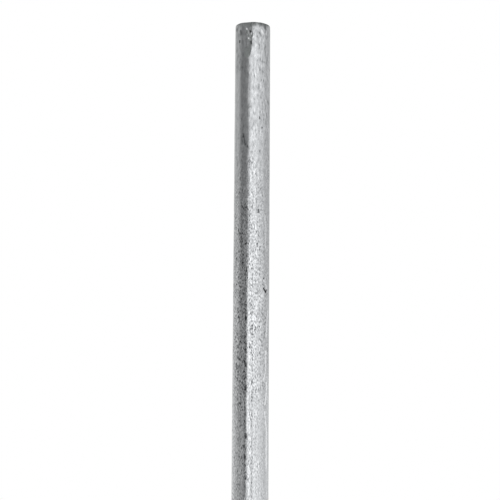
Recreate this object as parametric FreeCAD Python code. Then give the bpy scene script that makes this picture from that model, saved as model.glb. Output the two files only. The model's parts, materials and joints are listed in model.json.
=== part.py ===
import FreeCAD, Part
import math
import os

# Earth rod for overhead lines and substations: one straight round steel bar, sheared to
# length, forged to a point, and hot-dip galvanised all over afterwards. It has no thread,
# coupling or loose piece. Clamps grip the shank, and a hammer or driver strikes the head.
#
# The frame is the rod's own as it is driven: +Z up, head at the top, point at the bottom.
# The origin is the tip of the point, on the axis of the bar, and the rod's front, as the
# photograph shows it, faces -Y. Sizes are in millimetres over the zinc, angles in degrees.

# The bar
rod_length = 1200.0  # from the tip to the middle of the head
rod_diameter = 16.0

# The head, as the shear leaves it: nearly square, with its edge softened by the zinc
head_slant = 2.1  # how far the cut is out of square
head_low_side = -71.0  # heading of the head's lowest edge, from +X towards +Y
head_edge_radius = 0.8

# The point: a ball tip, a plain cone, and a soft shoulder where the cone meets the shank
point_angle = 32.0  # between opposite sides of the cone
tip_radius = 1.5
shoulder_radius = 20.0

rod_radius = rod_diameter / 2
cone_slope = math.radians(point_angle / 2)  # of the cone's side, from the axis


def section_point(radius, height):
    """A point of the half section that is turned about the axis."""
    return FreeCAD.Vector(radius, 0, height)


def section_arc(centre, radius, start, end):
    """An arc of the half section. Its angles are in radians: 0 is outward, and up is positive."""
    ends_and_middle = [
        centre + section_point(radius * math.cos(angle), radius * math.sin(angle))
        for angle in (start, (start + end) / 2, end)
    ]
    return Part.Arc(*ends_and_middle).toShape()


def section_line(start, end):
    return Part.LineSegment(start, end).toShape()


def pointed_bar(stock_top):
    """The bar turned from its half section, with its point forged and a square end at stock_top."""
    tip = section_arc(section_point(0, tip_radius), tip_radius, -math.pi / 2, -cone_slope)
    tip_bottom, cone_foot = (vertex.Point for vertex in tip.Vertexes)

    # the shoulder's arc leaves the cone in line with it, and meets the shank in line with that
    shoulder_centre_radius = rod_radius - shoulder_radius
    cone_top_radius = shoulder_centre_radius + shoulder_radius * math.cos(cone_slope)
    cone_top_height = cone_foot.z + (cone_top_radius - cone_foot.x) / math.tan(cone_slope)
    shoulder_height = cone_top_height + shoulder_radius * math.sin(cone_slope)
    shoulder_centre = section_point(shoulder_centre_radius, shoulder_height)
    shoulder = section_arc(shoulder_centre, shoulder_radius, -cone_slope, 0)

    stock_rim = section_point(rod_radius, stock_top)
    stock_middle = section_point(0, stock_top)
    half_section = Part.Wire(
        [
            tip,
            section_line(cone_foot, section_point(cone_top_radius, cone_top_height)),
            shoulder,
            section_line(section_point(rod_radius, shoulder_height), stock_rim),
            section_line(stock_rim, stock_middle),
            section_line(stock_middle, tip_bottom),
        ]
    )
    axis_up = FreeCAD.Vector(0, 0, 1)
    return Part.Face(half_section).revolve(tip_bottom, axis_up, 360)


def head_facing():
    """The direction that the sheared head faces: nearly up, leaning to its low side."""
    lean = math.radians(head_slant)
    heading = math.radians(head_low_side)
    return FreeCAD.Vector(
        math.sin(lean) * math.cos(heading),
        math.sin(lean) * math.sin(heading),
        math.cos(lean),
    )


def sheared(bar, stock_left_over):
    """The bar with all above the head's slanting plane cut away, and the cut's edge rounded."""
    head_middle = FreeCAD.Vector(0, 0, rod_length)
    waste = Part.makeCylinder(rod_diameter, 2 * stock_left_over, head_middle, head_facing())
    cut_bar = bar.cut(waste)
    whole_rings = [edge for edge in cut_bar.Edges if edge.isClosed()]
    head_rim = max(whole_rings, key=lambda ring: ring.CenterOfMass.z)
    return cut_bar.makeFillet(head_edge_radius, [head_rim])


def earth_rod():
    stock_left_over = rod_diameter
    return sheared(pointed_bar(rod_length + stock_left_over), stock_left_over)


os.makedirs("parts", exist_ok=True)
earth_rod().exportStep("parts/earth_rod.step")
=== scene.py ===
import json
import math

import bmesh
import bpy
import numpy as np
from mathutils import Matrix, Vector


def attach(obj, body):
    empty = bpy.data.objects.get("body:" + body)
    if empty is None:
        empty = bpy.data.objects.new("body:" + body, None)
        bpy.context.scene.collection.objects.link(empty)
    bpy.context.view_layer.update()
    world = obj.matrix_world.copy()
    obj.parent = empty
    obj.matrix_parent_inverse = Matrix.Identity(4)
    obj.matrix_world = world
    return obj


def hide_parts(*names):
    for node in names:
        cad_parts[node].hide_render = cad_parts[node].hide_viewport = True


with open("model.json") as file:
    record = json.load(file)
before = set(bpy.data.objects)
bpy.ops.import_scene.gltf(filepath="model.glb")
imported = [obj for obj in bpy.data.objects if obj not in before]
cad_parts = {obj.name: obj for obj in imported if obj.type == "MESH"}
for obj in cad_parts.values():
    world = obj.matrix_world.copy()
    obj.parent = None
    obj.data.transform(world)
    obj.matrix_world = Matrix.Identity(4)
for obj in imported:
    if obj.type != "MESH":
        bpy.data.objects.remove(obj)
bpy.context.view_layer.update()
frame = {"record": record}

# The bar: one length of round mild steel, sheared off at the head, forged to a point at the foot
# and dipped whole in molten zinc. It is shaped in two lengths, the upper one with a finer skin
# because the photograph shows it from close by, and the two are bridged into one closed mesh.
mm = 0.001
near = 0.01 * mm  # what lies this close lies level
mounts = {mount["name"]: mount for mount in frame["record"]["mounts"]}
rod_radius = mounts["shank"]["dims"]["r_mm"] * mm
head_height = mounts["head"]["pos_m"][2]
head_normal = Vector(mounts["head"]["axis"])

upper_reach = 228 * mm  # how far below the head the finer skin goes
upper_sides = 144
upper_cuts = (22, 22)  # 23 rows of faces, each cut into 23
lower_sides = 72
lower_cuts = (13, 14)
bridged_ring = 2 * mm  # the height of the ring of faces between the two lengths


def edit(piece):
    """Open one piece alone in edit mode, with nothing of it selected."""
    bpy.ops.object.select_all(action="DESELECT")
    piece.select_set(True)
    bpy.context.view_layer.objects.active = piece
    bpy.ops.object.mode_set(mode="EDIT")
    bpy.ops.mesh.select_all(action="DESELECT")


def pick(piece, kind, wanted):
    """Select, in edit mode, only the vertices, edges or faces that are wanted."""
    bpy.ops.mesh.select_mode(type=kind)
    bpy.ops.mesh.select_all(action="DESELECT")
    shape = bmesh.from_edit_mesh(piece.data)
    for item in {"VERT": shape.verts, "EDGE": shape.edges, "FACE": shape.faces}[kind]:
        if wanted(item):
            item.select_set(True)
    bmesh.update_edit_mesh(piece.data)


def runs_up(edge):
    """A test for the edges that run along the bar."""
    return abs(edge.verts[0].co.z - edge.verts[1].co.z) > near


def level_at(height):
    """A test for what lies level at one height."""
    return lambda item: all(abs(vertex.co.z - height) < near for vertex in item.verts)


def open_tube(name, sides, bottom, top, cuts):
    """A tube of the bar's radius, left in edit mode, with its wall cut across again and again."""
    bpy.ops.object.select_all(action="DESELECT")
    bpy.ops.mesh.primitive_cylinder_add(
        vertices=sides,
        radius=rod_radius,
        depth=top - bottom,
        end_fill_type="NOTHING",
        location=(0, 0, (top + bottom) / 2),
    )
    tube = bpy.context.active_object
    tube.name = name
    bpy.ops.object.transform_apply(location=True, rotation=True, scale=True)
    edit(tube)
    for number in cuts:
        pick(tube, "EDGE", runs_up)
        bpy.ops.mesh.subdivide(number_cuts=number)
    return tube


def draw_ring(height, radius, new_height, new_radius):
    """Extrude the selected open ring to a new height and radius, and leave the new ring selected."""
    rise = (0, 0, new_height - height)
    bpy.ops.mesh.extrude_region_move(TRANSFORM_OT_translate={"value": rise})
    shrink = new_radius / radius
    bpy.ops.transform.resize(value=(shrink, shrink, 1), center_override=(0, 0, new_height))
    return new_height, new_radius


# the upper length: its sheared edge is rounded ring by ring, and its end filled with a grid
head_edge_radius = 0.2 * mm
edge_steps = 4
seam_top = head_height - upper_reach
wall_top = head_height - head_edge_radius
upper_length = open_tube("upper_length", upper_sides, seam_top, wall_top, upper_cuts)
pick(upper_length, "EDGE", level_at(wall_top))
ring = (wall_top, rod_radius)
for step in range(1, edge_steps + 1):
    turn = math.radians(90) * step / edge_steps
    ring = draw_ring(
        *ring,
        wall_top + head_edge_radius * math.sin(turn),
        rod_radius - head_edge_radius * (1 - math.cos(turn)),
    )
bpy.ops.mesh.fill_grid(span=upper_sides // 4)
pick(upper_length, "VERT", lambda vertex: vertex.co.z > head_height - near)
bpy.ops.transform.resize(value=(1, 1, 0), center_override=(0, 0, head_height))

# the head leans to its low side, because the shear cut it a little out of square. The operator
# turns clockwise round an axis, and the signs of the two angles allow for that.
head_centre = (0, 0, head_height)
pick(upper_length, "VERT", lambda vertex: vertex.co.z > wall_top - near)
lean_about_x = math.atan2(head_normal.y, head_normal.z)
lean_about_y = -math.atan2(head_normal.x, head_normal.z)
for axis, lean in (("X", lean_about_x), ("Y", lean_about_y)):
    bpy.ops.transform.rotate(value=lean, orient_axis=axis, center_override=head_centre)
bpy.ops.object.mode_set(mode="OBJECT")

# the lower length: the hammers draw its end down through a shoulder and a cone to a ball tip
point_angle = math.radians(32)
tip_radius = 1.5 * mm
shoulder_radius = 20 * mm
shoulder_steps = 4
cone_steps = 12
tip_steps = 4

point_slope = point_angle / 2
cone_foot_height = tip_radius * (1 - math.sin(point_slope))
cone_foot_radius = tip_radius * math.cos(point_slope)
cone_top_radius = rod_radius - shoulder_radius * (1 - math.cos(point_slope))
cone_height = (cone_top_radius - cone_foot_radius) / math.tan(point_slope)
cone_top_height = cone_foot_height + cone_height
shoulder_height = cone_top_height + shoulder_radius * math.sin(point_slope)
seam_bottom = seam_top - bridged_ring
lower_length = open_tube("lower_length", lower_sides, shoulder_height, seam_bottom, lower_cuts)
pick(lower_length, "EDGE", level_at(shoulder_height))
ring = (shoulder_height, rod_radius)
for step in range(1, shoulder_steps + 1):
    turn = point_slope * step / shoulder_steps
    ring = draw_ring(
        *ring,
        shoulder_height - shoulder_radius * math.sin(turn),
        rod_radius - shoulder_radius * (1 - math.cos(turn)),
    )
for step in range(1, cone_steps + 1):
    part = step / cone_steps
    ring = draw_ring(
        *ring,
        cone_top_height - cone_height * part,
        cone_top_radius + (cone_foot_radius - cone_top_radius) * part,
    )
for step in range(1, tip_steps):
    turn = point_slope + (math.radians(90) - point_slope) * step / tip_steps
    ring = draw_ring(
        *ring,
        tip_radius * (1 - math.sin(turn)),
        tip_radius * math.cos(turn),
    )
bpy.ops.mesh.extrude_region_move(TRANSFORM_OT_translate={"value": (0, 0, -ring[0])})
bpy.ops.mesh.merge(type="CENTER")
bpy.ops.object.mode_set(mode="OBJECT")

# the two lengths joined
bpy.ops.object.select_all(action="DESELECT")
lower_length.select_set(True)
upper_length.select_set(True)
bpy.context.view_layer.objects.active = upper_length
bpy.ops.object.join()
galvanised_rod = upper_length
galvanised_rod.name = "galvanised_rod"
galvanised_rod.data.name = "galvanised_rod"
edit(galvanised_rod)
pick(
    galvanised_rod,
    "EDGE",
    lambda edge: level_at(seam_top)(edge) or level_at(seam_bottom)(edge),
)
bpy.ops.mesh.bridge_edge_loops()
bpy.ops.mesh.select_all(action="SELECT")
bpy.ops.mesh.normals_make_consistent(inside=False)
bpy.ops.object.mode_set(mode="OBJECT")

# the shear pressed a shallow flat into the front of the head, left of the middle
flat_heading = math.radians(-18)  # from the front, positive to the right
flat_depth = 0.36 * mm
flat_length = 17 * mm
flat_fade = 4  # the power by which the flat runs out, late and then quickly
still_radius = 5.5 * mm  # of the head's middle, which stays as it is
flat_facing = Vector((math.sin(flat_heading), -math.cos(flat_heading), 0))
for vertex in galvanised_rod.data.vertices:
    below_head = head_height - vertex.co.z
    out_to = vertex.co.xy.length
    if below_head < flat_length and out_to > still_radius:
        facing = flat_facing.dot(vertex.co) / out_to
        depth_here = flat_depth * (1 - (below_head / flat_length) ** flat_fade)
        flat_level = rod_radius - depth_here
        proud = max(rod_radius * facing - flat_level, 0)
        share = min((out_to - still_radius) / (rod_radius - head_edge_radius - still_radius), 1)
        vertex.co -= flat_facing * proud * share

# and it rolled the edge over a little, all the way round
roll_length = 2.8 * mm
roll_depth = 0.06 * mm
lean_drop = 0.3 * mm  # how far the lean lowers the edge at the low side
edit(galvanised_rod)
pick(galvanised_rod, "VERT", lambda vertex: vertex.co.z > wall_top - lean_drop)
rolled_size = 1 - roll_depth / rod_radius
bpy.ops.transform.resize(
    value=(rolled_size, rolled_size, 1),
    center_override=head_centre,
    use_proportional_edit=True,
    proportional_edit_falloff="SHARP",
    proportional_size=roll_length,
)
bpy.ops.object.mode_set(mode="OBJECT")


def sink_into_skin(name, width, length, depth, weights=""):
    """Sink the skin by up to depth, in soft lumps of one width round and length along the bar."""
    bpy.ops.object.empty_add()
    lump_size = bpy.context.active_object
    lump_size.scale = (width, width, length)
    lumps = bpy.data.textures.new(name, "CLOUDS")
    lumps.noise_scale = 1.0
    lumps.noise_depth = 1
    modifier = galvanised_rod.modifiers.new(name, "DISPLACE")
    modifier.texture = lumps
    modifier.texture_coords = "OBJECT"
    modifier.texture_coords_object = lump_size
    modifier.mid_level = 1.0
    modifier.strength = depth
    modifier.vertex_group = weights
    bpy.context.view_layer.update()
    bpy.context.view_layer.objects.active = galvanised_rod
    bpy.ops.object.modifier_apply(modifier=name)
    bpy.data.objects.remove(lump_size)
    bpy.data.textures.remove(lumps)


# the zinc's skin: long soft runs where it drained, and over them a grain drawn out along the bar,
# which is only half as deep at the head
calm_share = 0.5
calm_length = 20 * mm
grain_fades_over = 80 * mm
grain_weights = galvanised_rod.vertex_groups.new(name="grain")
for vertex in galvanised_rod.data.vertices:
    below_head = head_height - vertex.co.z
    faded_in = min(max((below_head - calm_length) / grain_fades_over, 0), 1)
    weight = calm_share + (1 - calm_share) * faded_in
    grain_weights.add([vertex.index], weight, "REPLACE")
bpy.ops.object.select_all(action="DESELECT")
galvanised_rod.select_set(True)
sink_into_skin("runs", 3 * mm, 11 * mm, 0.10 * mm)
sink_into_skin("grain", 1.1 * mm, 2.0 * mm, 0.04 * mm, "grain")

# the bath and handling left marks, and some strokes are painted shade or highlights; each is a short
# stroke: where it starts and ends, in mm below the head and degrees round from the front to the
# right, and its width in mm
# pits: dark partly from the ash in them and partly as painted shade of their hollows
pits_ash_and_shade = (
    ((4.6, -9), (5.5, -8), 0.8),
    ((8.5, -48), (9.1, -48), 0.7),
    ((9.5, -6), (10.6, -5), 0.6),
    ((44.5, 24), (45.6, 24), 0.6),
    ((49.2, 33), (49.8, 33), 0.6),
    ((85, -30), (86.2, -30), 0.7),
    ((87, 22), (88.2, 22), 0.8),
    ((96.8, -43), (97.4, -43), 0.8),
    ((105, -43), (105.8, -43), 0.8),
    ((108.3, -55), (108.9, -55), 0.8),
    ((109.5, -29), (111, -29), 0.8),
    ((119.5, -54), (119.9, -54), 0.7),
    ((134.3, -18), (135.5, -18), 0.8),
    ((148.8, -17), (149.7, -17), 0.8),
    ((151.9, -44), (153.1, -35), 0.8),
    ((153.7, -21), (155.4, -16), 0.8),
    ((154.5, -51), (155.2, -50), 0.7),
    ((155.6, -44), (156.1, -39), 0.7),
    ((156, -49), (156.9, -48), 0.7),
    ((164.5, -16), (165.7, -16), 0.7),
    ((184.6, -15), (186.4, -15), 0.7),
    ((189.7, -21), (190.4, -21), 0.8),
    ((194, -18), (194.8, -18), 0.8),
    ((202.6, -14), (203.6, -14), 0.8),
)
gouges = (
    ((121.8, 44), (123.2, 52), 0.8),
    ((123.2, 52), (122.4, 56), 0.7),
)
# specks: darker spots and lines on the zinc; the 0.4 mm wide strokes from 146 to 179 mm below the
# head, at 46 to 65 degrees, are painted shade on the dark side of the wrinkles
specks_and_wrinkle_shade = (
    ((4, -43), (5.6, -40), 1.3),
    ((5.1, 21), (6.3, 29), 0.9),
    ((59.6, -18), (60.6, -18), 0.6),
    ((60.2, 25), (60.8, 25), 0.5),
    ((85.6, -17), (86.8, -17), 0.5),
    ((91.8, -16), (93.4, -16), 0.5),
    ((96.4, 3), (97.6, 3), 0.5),
    ((98.2, -10), (99.4, -10), 0.5),
    ((102, 19), (102.7, 19), 0.6),
    ((108.2, -55), (109, -55), 0.6),
    ((109.4, -12), (110.5, -12), 0.5),
    ((110, -55), (110.6, -55), 0.6),
    ((114, -19), (172, -18), 0.5),
    ((114.4, -17), (115.3, -12), 0.6),
    ((114.5, -18), (115, -18), 0.5),
    ((116.8, -18), (119, -18), 0.5),
    ((119.5, 36), (120.1, 38), 0.6),
    ((119.7, 40), (120.3, 43), 0.6),
    ((121, -21), (121.8, -21), 0.5),
    ((123.8, -25), (125, -25), 0.6),
    ((124, -24), (124.9, -24), 0.8),
    ((125.9, 31), (129.7, 21), 0.6),
    ((126.8, -32), (128.8, -32), 0.5),
    ((132, -18), (133.2, -18), 0.6),
    ((138, 4), (168, 4), 0.3),
    ((139, -26), (139.3, -22), 0.5),
    ((140.4, 49), (143.5, 45), 0.6),
    ((142.6, -27), (143.4, -27), 0.5),
    ((144, 33), (146.6, 37), 0.5),
    ((146.2, 65), (152.8, 65), 0.4),
    ((163.3, 47), (165.5, 46), 0.4),
    ((168, 4), (226, 4), 0.4),
    ((168.9, 50), (171, 46), 0.4),
    ((172, -18), (226, -15), 0.5),
    ((176.6, 48), (178.7, 49), 0.4),
    ((196.6, -18), (197, -16), 0.6),
    ((200.6, -14), (202.4, -14), 0.6),
)
scuffs = (
    ((3.9, 30), (5.2, 36), 0.9),
    ((7, 3), (8.6, 8), 0.8),
    ((16, -13), (17.8, -13), 0.6),
    ((89, 47), (96, 53), 0.7),
    ((96, 53), (104, 49), 0.7),
    ((114, -8), (184, -9), 0.6),
    ((118.2, 45), (119, 51), 0.9),
    ((119.9, 52), (121.6, 57), 0.8),
    ((124.3, 41), (127.5, 23), 0.9),
    ((127.5, 23), (130.7, 17), 0.9),
    ((134.1, 7), (135.6, 7), 0.9),
    ((152.9, -45), (154.1, -37), 0.7),
    ((182, 60), (199, 60), 0.7),
)
# wrinkles: each is sunk a little and painted lighter, a painted highlight on its lit side
wrinkle_highlights = (
    ((131.7, 67), (135.4, 62), 0.8),
    ((135.4, 62), (142.9, 57), 0.8),
    ((149.4, 55), (152.9, 52), 0.8),
    ((152.9, 52), (156.3, 57), 0.8),
    ((156.3, 57), (159, 52), 0.8),
    ((159, 52), (162, 44), 0.8),
    ((162.7, 61), (166.2, 60), 0.9),
    ((167.5, 59), (169.7, 57), 0.9),
    ((169.7, 57), (172.1, 51), 0.9),
    ((175.3, 50), (179.1, 55), 0.8),
    ((179.1, 55), (182, 60), 0.8),
)
nicks = (
    ((3.5, -19), (5.2, -14), 0.8),
    ((5.2, -14), (6.9, -10), 0.8),
    ((5.5, -3), (6.5, -4), 0.7),
    ((8.1, -12), (8.8, -9), 0.8),
)
# painted shade: darkens the zinc at the left, from 3 to 21 mm below the head
shade_left_of_head = (((3, -58), (21, -52), 4.5),)
hollows = (((25, -17), (38, -17), 4.5),)
# the three strokes within 3 mm of the head are painted shade along its rolled edge; the two lower
# down are darker patches on the zinc
rim_shade_and_dark_patches = (
    ((0.7, 26), (2.6, 54), 2),
    ((0.9, 4), (2.4, -7), 1.2),
    ((1.2, -80), (2.6, -66), 1.6),
    ((53, -33), (56.2, -26), 1.9),
    ((56.2, -26), (58.8, -14), 1.2),
)
skin_points = galvanised_rod.data.vertices
places = np.empty(3 * len(skin_points), np.float32)
skin_points.foreach_get("co", places)
places = places.reshape(-1, 3)
point_below = (head_height - places[:, 2]) / mm
point_round = np.arctan2(places[:, 0], -places[:, 1]) * rod_radius / mm
tone = np.zeros(len(skin_points), np.float32)
sunk = np.zeros(len(skin_points), np.float32)

# each kind of mark darkens or lightens the zinc by a share of its range, and sinks it
for strokes, stroke_tone, stroke_depth in (
    (gouges, -0.45, 0.08 * mm),
    (pits_ash_and_shade, -0.26, 0.05 * mm),
    (specks_and_wrinkle_shade, -0.13, 0.02 * mm),
    (nicks, 0.25, 0.16 * mm),
    (scuffs, 0.19, 0),
    (wrinkle_highlights, 0.25, 0.08 * mm),
    (shade_left_of_head, -0.08, 0),
    (rim_shade_and_dark_patches, -0.14, 0),
    (hollows, 0, 0.1 * mm),
):
    share = np.zeros(len(skin_points), np.float32)
    for (start_below, start_heading), (end_below, end_heading), width in strokes:
        start_round = math.radians(start_heading) * rod_radius / mm
        run_below = end_below - start_below
        run_round = math.radians(end_heading) * rod_radius / mm - start_round
        off_below = point_below - start_below
        off_round = point_round - start_round
        part = (off_below * run_below + off_round * run_round) / (run_below**2 + run_round**2)
        part = np.clip(part, 0, 1)
        away = np.hypot(off_below - part * run_below, off_round - part * run_round)
        # a mark is whole over the middle half of its width, and fades out just past its edge
        share = np.maximum(share, np.clip(1.5 - 2 * away / width, 0, 1))
    tone += stroke_tone * share
    sunk = np.maximum(sunk, stroke_depth * share)
places[:, :2] *= (1 - sunk / rod_radius)[:, None]
skin_points.foreach_set("co", places.ravel())
# the tone of the marks, with the painted shade and painted highlights in it
marks_and_painted_light = galvanised_rod.data.attributes.new("marks_and_painted_light", "FLOAT", "POINT")
marks_and_painted_light.data.foreach_set("value", tone)
galvanised_rod.data.update()

bpy.ops.object.select_all(action="DESELECT")
galvanised_rod.select_set(True)
bpy.context.view_layer.objects.active = galvanised_rod
bpy.ops.object.shade_smooth()


def linear(colour):
    """A colour for a node's socket, from its sRGB hex value."""
    parts = [int(colour[start : start + 2], 16) / 255 for start in (1, 3, 5)]
    return [
        part / 12.92 if part <= 0.04045 else ((part + 0.055) / 1.055) ** 2.4 for part in parts
    ] + [1.0]


def add_node(tree, kind, settings=None, stops=None, **links):
    """Add a node with its settings and colour stops, and feed its inputs, by name or _number."""
    node = tree.nodes.new(kind)
    for name, value in (settings or {}).items():
        setattr(node, name, value)
    if stops:
        for _ in stops[2:]:
            node.color_ramp.elements.new(1.0)
        for element, (place, colour) in zip(node.color_ramp.elements, stops):
            element.position = place
            element.color = linear(colour)
    for name, value in links.items():
        number = name[1:].isdigit()
        socket = node.inputs[int(name[1:]) if number else name.replace("_", " ")]
        if isinstance(value, bpy.types.NodeSocket):
            tree.links.new(value, socket)
        else:
            socket.default_value = value
    return node


# Hot-dip zinc, drained and left as it came from the bath: a bright metal skin, smooth enough to
# mirror the lights as soft upright bands, and mottled from pale to mid grey by its crystals, which
# the draining drew out along the bar. It is fine near the head and gritty further down.
zinc = bpy.data.materials.new("hot_dip_zinc")
zinc.use_nodes = True
coat = zinc.node_tree
coat.nodes.clear()
place = add_node(coat, "ShaderNodeTexCoord").outputs["Object"]
place_parts = add_node(coat, "ShaderNodeSeparateXYZ", Vector=place)
to_the_right = place_parts.outputs["X"]
height = place_parts.outputs["Z"]
gritty_below = add_node(
    coat,
    "ShaderNodeMapRange",
    {"interpolation_type": "SMOOTHSTEP"},
    Value=height,
    From_Min=head_height - 110 * mm,
    From_Max=head_height - 30 * mm,
    To_Min=1.0,
    To_Max=0.0,
).outputs["Result"]

# Each pattern's width round the bar and length along it. The real grit is about 0.1 mm wide, too
# fine to show, so it is drawn three times as coarse.
patterns = {}
for name, width, length, detail in (
    ("grain", 0.85 * mm, 2.6 * mm, 1.0),
    ("grit", 0.3 * mm, 0.95 * mm, 0.0),
    ("streak", 0.8 * mm, 9 * mm, 2.0),
    ("clump", 3 * mm, 6 * mm, 1.0),
):
    stretched = add_node(
        coat,
        "ShaderNodeMapping",
        Vector=place,
        Scale=(1 / width, 1 / width, 1 / length),
    )
    field = add_node(
        coat,
        "ShaderNodeTexNoise",
        Vector=stretched.outputs[0],
        Scale=1.0,
        Detail=detail,
        Roughness=0.6,
    )
    patterns[name] = field.outputs["Fac"]
grit_share = add_node(coat, "ShaderNodeMapRange", Value=gritty_below, To_Min=0.2, To_Max=0.9)
crystals = add_node(
    coat,
    "ShaderNodeMix",
    _0=grit_share.outputs[0],
    _2=patterns["grain"],
    _3=patterns["grit"],
)
mottled = add_node(coat, "ShaderNodeMix", _0=0.15, _2=crystals.outputs[0], _3=patterns["streak"])

# how strong the mottling is: it comes in clumps, it is even at the head, and further down it is
# strongest at the left, and calmer again below
patchy = add_node(
    coat,
    "ShaderNodeMapRange",
    Value=patterns["clump"],
    From_Min=0.3,
    From_Max=0.7,
    To_Min=0.7,
    To_Max=1.3,
)
upper_contrast = add_node(
    coat,
    "ShaderNodeMapRange",
    Value=to_the_right,
    From_Min=-6 * mm,
    From_Max=1 * mm,
    To_Min=0.48,
    To_Max=0.92,
)
lower_contrast = add_node(
    coat,
    "ShaderNodeMapRange",
    Value=to_the_right,
    From_Min=-4 * mm,
    From_Max=6 * mm,
    To_Min=1.5,
    To_Max=0.85,
)
settled = add_node(
    coat,
    "ShaderNodeMix",
    _0=gritty_below,
    _2=upper_contrast.outputs[0],
    _3=lower_contrast.outputs[0],
)
calmer_below = add_node(
    coat,
    "ShaderNodeMapRange",
    {"interpolation_type": "SMOOTHSTEP"},
    Value=height,
    From_Min=head_height - 190 * mm,
    From_Max=head_height - 140 * mm,
    To_Min=0.7,
    To_Max=1.0,
)
uneven = add_node(
    coat,
    "ShaderNodeMath",
    {"operation": "MULTIPLY"},
    _0=calmer_below.outputs[0],
    _1=patchy.outputs[0],
)
contrast = add_node(
    coat, "ShaderNodeMath", {"operation": "MULTIPLY"}, _0=settled.outputs[0], _1=uneven.outputs[0]
)

# the mottling and the marks, with the painted shade and highlights among them, move the zinc up and
# down its scale of greys
centred = add_node(coat, "ShaderNodeMath", {"operation": "SUBTRACT"}, _0=mottled.outputs[0], _1=0.5)
marks_and_painted_light_reader = add_node(coat, "ShaderNodeAttribute", {"attribute_name": "marks_and_painted_light"})
middle = add_node(coat, "ShaderNodeMath", {"operation": "ADD"}, _0=marks_and_painted_light_reader.outputs["Fac"], _1=0.5)
spread = add_node(
    coat,
    "ShaderNodeMath",
    {"operation": "MULTIPLY_ADD"},
    _0=centred.outputs[0],
    _1=contrast.outputs[0],
    _2=middle.outputs[0],
)
zinc_colour = add_node(
    coat,
    "ShaderNodeValToRGB",
    stops=[
        (0.1, "#2E3032"),
        (0.26, "#66686A"),
        (0.36, "#A0A2A4"),
        (0.44, "#BEC0C2"),
        (0.56, "#D0D2D4"),
        (0.72, "#F4F6F8"),
    ],
    Fac=spread.outputs[0],
)
relief = add_node(
    coat,
    "ShaderNodeBump",
    Strength=1.0,
    Distance=0.02 * mm,
    Height=crystals.outputs[0],
)
surface = add_node(
    coat,
    "ShaderNodeBsdfPrincipled",
    Base_Color=zinc_colour.outputs[0],
    Metallic=1.0,
    Roughness=0.11,
    Normal=relief.outputs[0],
)
add_node(coat, "ShaderNodeOutputMaterial", Surface=surface.outputs[0])
galvanised_rod.data.materials.clear()
galvanised_rod.data.materials.append(zinc)
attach(galvanised_rod, "root")
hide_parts("earth_rod")

# The floor: a wide concrete slab, trowelled flat, with the rod's point on it. Matt emulsion paint,
# put on with a roller, gives it an even pale grey with no shine. It is kept out of the rod's
# reflections, so that the rod mirrors the panels of the studio all the way down.
floor_size = 60.0
bpy.ops.object.select_all(action="DESELECT")
bpy.ops.mesh.primitive_plane_add(size=floor_size)
floor = bpy.context.active_object
floor.name = "floor"
matt_paint = bpy.data.materials.new("matt_emulsion")
matt_paint.use_nodes = True
matt_paint.node_tree.nodes.clear()
painted = add_node(
    matt_paint.node_tree,
    "ShaderNodeBsdfPrincipled",
    Base_Color=linear("#F2F2F2"),
    Roughness=0.7,
)
add_node(matt_paint.node_tree, "ShaderNodeOutputMaterial", Surface=painted.outputs[0])
floor.data.materials.append(matt_paint)
floor.visible_glossy = False

# The studio: soft white panels stand all round the rod, in two rows, with darker gaps between
# them, a darker band over them and a white ceiling. They light the rod, and it mirrors them.
# Behind it hangs a plain white backdrop, which is all that the camera sees of the studio.
studio = bpy.data.worlds.new("studio")
bpy.context.scene.world = studio
studio.use_nodes = True
sky = studio.node_tree
sky.nodes.clear()
direction = add_node(sky, "ShaderNodeTexCoord").outputs["Generated"]
parts = add_node(sky, "ShaderNodeSeparateXYZ", Vector=direction)
forwards = add_node(
    sky, "ShaderNodeMath", {"operation": "MULTIPLY"}, _0=parts.outputs["Y"], _1=-1.0
)
heading = add_node(
    sky,
    "ShaderNodeMath",
    {"operation": "ARCTAN2"},
    _0=parts.outputs["X"],
    _1=forwards.outputs[0],
)
elevation = add_node(sky, "ShaderNodeMath", {"operation": "ARCSINE"}, _0=parts.outputs["Z"])
round_the_rod = add_node(
    sky, "ShaderNodeMapRange", Value=heading.outputs[0], From_Min=-math.pi, From_Max=math.pi
)

# each row of panels, from left to right: degrees to the right of the rod's front, and a grey
low_panels = (
    (-180, "#C4C4C3"),
    (-140, "#CDCDCC"),
    (-110, "#B9B9B8"),
    (-75, "#9E9E9D"),
    (-44, "#979797"),
    (-36, "#858585"),
    (-32, "#858585"),
    (-28, "#BEBEBE"),
    (-17, "#DFDFDF"),
    (-2, "#FFFFFF"),
    (9, "#DEDEDE"),
    (18, "#F8F8F8"),
    (35, "#EBEBEB"),
    (70, "#DDDDDD"),
    (108, "#CACACA"),
    (124, "#DADADA"),
    (150, "#C1C1C1"),
)
high_panels = (
    (-180, "#B0B0AF"),
    (-142, "#BABAB9"),
    (-127, "#AAAAA9"),
    (-111, "#B3B3B2"),
    (-96, "#AAAAA9"),
    (-70, "#787878"),
    (-42, "#7D7D7D"),
    (-28, "#909090"),
    (-20, "#CDCDCD"),
    (-3, "#F5F5F5"),
    (8, "#E3E3E3"),
    (18, "#F3F3F3"),
    (45, "#D9D9D9"),
    (78, "#CFCFCF"),
    (92, "#BABABA"),
    (110, "#B8B8B8"),
    (160, "#AFAFAF"),
)
low_row, high_row = [
    add_node(
        sky,
        "ShaderNodeValToRGB",
        stops=[((degrees + 180) / 360, grey) for degrees, grey in panels],
        Fac=round_the_rod.outputs[0],
    )
    for panels in (low_panels, high_panels)
]

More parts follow.
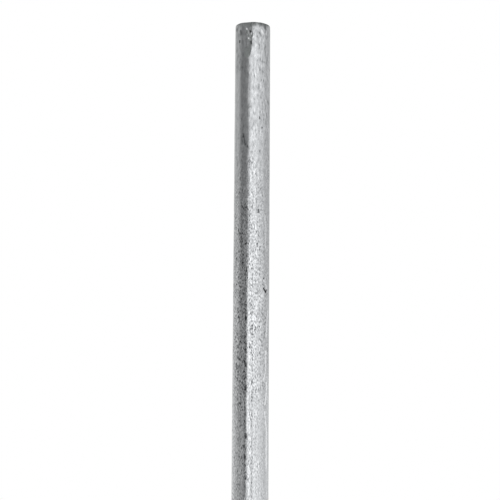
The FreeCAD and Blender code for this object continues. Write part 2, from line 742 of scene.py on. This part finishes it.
# each layer of the studio comes in over the one before, between two elevations in degrees
lit = low_row.outputs[0]
for starts, whole, blend, layer in (
    (3, 10, "LINEAR", high_row.outputs[0]),
    (20.8, 23.5, "SMOOTHSTEP", linear("#7D7F7D")),
    (40, 55, "SMOOTHSTEP", linear("#FFFFFF")),
):
    comes_in = add_node(
        sky,
        "ShaderNodeMapRange",
        {"interpolation_type": blend},
        Value=elevation.outputs[0],
        From_Min=math.radians(starts),
        From_Max=math.radians(whole),
    )
    mixed = add_node(
        sky, "ShaderNodeMix", {"data_type": "RGBA"}, _0=comes_in.outputs[0], _6=lit, _7=layer
    )
    lit = mixed.outputs[2]
light_on_rod = add_node(sky, "ShaderNodeBackground", Color=lit, Strength=1.4)
backdrop = add_node(sky, "ShaderNodeBackground", Color=linear("#FFFFFF"), Strength=1.0)
rays = add_node(sky, "ShaderNodeLightPath")
seen = add_node(
    sky,
    "ShaderNodeMixShader",
    _0=rays.outputs["Is Camera Ray"],
    _1=light_on_rod.outputs[0],
    _2=backdrop.outputs[0],
)
add_node(sky, "ShaderNodeOutputWorld", Surface=seen.outputs[0])
bpy.context.scene.view_settings.view_transform = "Standard"  # every grey comes out as it is lit

# The camera: it stands 0.57 m in front of the rod and 0.21 m below the head, and looks up at the
# head, so that less than the upper fifth of the rod is in view.
image_side = 500  # in pixels
focal_pixels = 1300
sensor_side = 36.0  # in mm
camera_distance = 566 * mm
camera_drop = 208.6 * mm
camera_pitch = math.radians(10.5)
camera_yaw = math.radians(-0.065)
camera_roll = math.radians(0.38)
camera_data = bpy.data.cameras.new("camera")
camera_data.sensor_width = sensor_side
camera_data.lens = focal_pixels * sensor_side / image_side
camera = bpy.data.objects.new("camera", camera_data)
bpy.context.scene.collection.objects.link(camera)
camera.matrix_world = (
    Matrix.Translation((0, -camera_distance, head_height - camera_drop))
    @ Matrix.Rotation(-camera_yaw, 4, "Z")
    @ Matrix.Rotation(math.radians(90) + camera_pitch, 4, "X")
    @ Matrix.Rotation(camera_roll, 4, "Z")
)
bpy.context.scene.camera = camera
